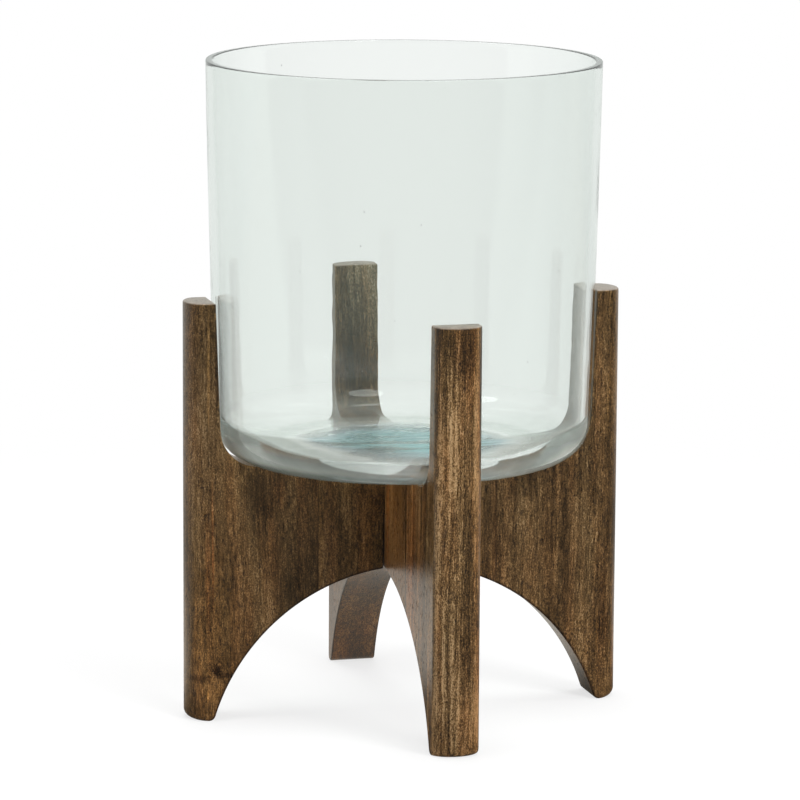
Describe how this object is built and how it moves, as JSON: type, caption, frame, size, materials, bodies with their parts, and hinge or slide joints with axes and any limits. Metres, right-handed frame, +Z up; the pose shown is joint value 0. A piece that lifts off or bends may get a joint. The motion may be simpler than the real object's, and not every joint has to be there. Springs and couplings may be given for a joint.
{
  "type": "vase with wooden stand",
  "caption": "Clear glass cylinder vase with a rounded heel, standing in the cradle of a crossed stand made of arched wooden panels with upright posts.",
  "frame": {"origin": "middle of the stand's footprint, on the surface that it stands on", "axes": "+Z up along the vase's axis; +X along one panel of the stand, towards the right foot; +Y along the other panel, towards the rear foot"},
  "size_m": [0.2278, 0.2278, 0.3338],
  "materials": {
    "glass": "clear blown glass with a faint grey-green tint, polished, with a flat ground rim",
    "wood_x": "brown stained hardwood with an upright grain, under a satin lacquer",
    "wood_y": "warm brown stained hardwood with light flecks and an upright grain, under a satin lacquer"
  },
  "bodies": {
    "stand": {"leg_stave_left": "wood_x", "centre_stave_x": "wood_x", "leg_stave_right": "wood_x", "leg_stave_front": "wood_y", "centre_stave_y": "wood_y", "leg_stave_rear": "wood_y"},
    "vase": {"glass_vase": "glass"}
  },
  "joints": [
    {"name": "vase_lift", "type": "slide", "parent": "stand", "child": "vase", "axis": [0, 0, 1], "range_m": [0, 0.12]}
  ]
}
